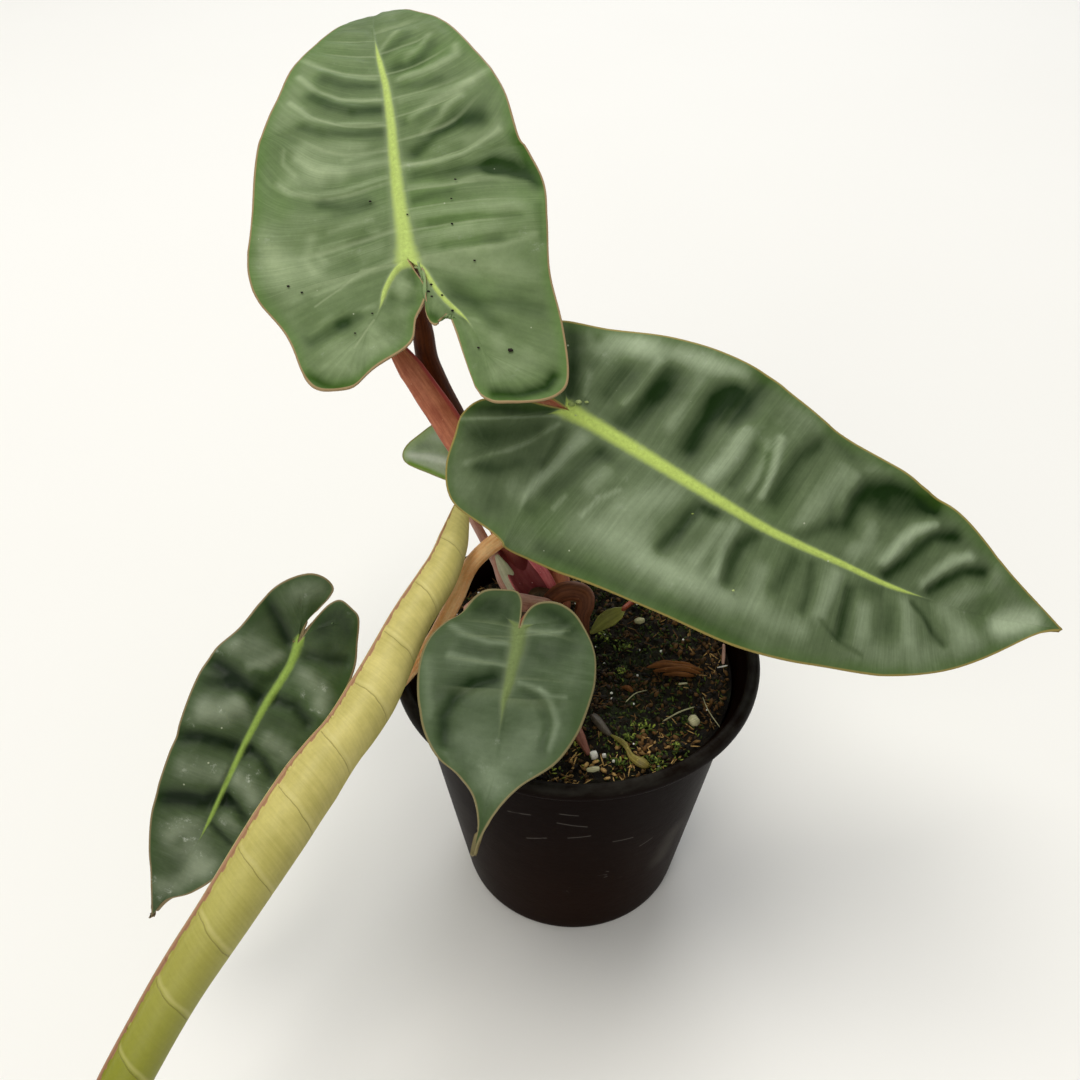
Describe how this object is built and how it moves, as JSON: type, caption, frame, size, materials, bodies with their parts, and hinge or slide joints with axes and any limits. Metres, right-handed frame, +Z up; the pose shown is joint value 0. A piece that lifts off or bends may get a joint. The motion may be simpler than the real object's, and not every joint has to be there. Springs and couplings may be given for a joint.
{
  "type": "potted philodendron plant",
  "caption": "Young climbing foliage plant with long heart-based leaves and one leaf still rolled up, growing in soil in a round black nursery pot with a flat base.",
  "frame": {"origin": "middle of the pot's flat base, on the surface it stands on", "axes": "+Z up the pot's axis; -Y towards the side the front leaf hangs over; +X towards the long right-hand leaf"},
  "size_m": [0.2386, 0.2627, 0.2232],
  "materials": {
    "pot_plastic": "satin",
    "soil_mix": "matte",
    "stem_bark": "matte",
    "stalk_dark": "satin",
    "stalk_red": "satin",
    "stalk_orange": "satin",
    "leaf_green": "satin",
    "leaf_young": "satin"
  },
  "bodies": {
    "root": {"pot": "pot_plastic", "soil": "soil_mix", "stem": "stem_bark", "stalk_top": "stalk_dark", "stalk_right": "stalk_red", "stalk_left": "stalk_orange", "stalk_front": "stalk_red", "stalk_rolled": "stalk_orange", "stalk_back": "stalk_red", "sheath_red": "stalk_red", "sheath_pink": "stalk_red", "air_root": "stem_bark", "sprout": "leaf_young", "blade_top": "leaf_green", "blade_right": "leaf_green", "blade_left": "leaf_green", "blade_front": "leaf_green", "blade_back": "leaf_green", "blade_rolled": "leaf_young", "twig": "stem_bark"}
  },
  "joints": []
}
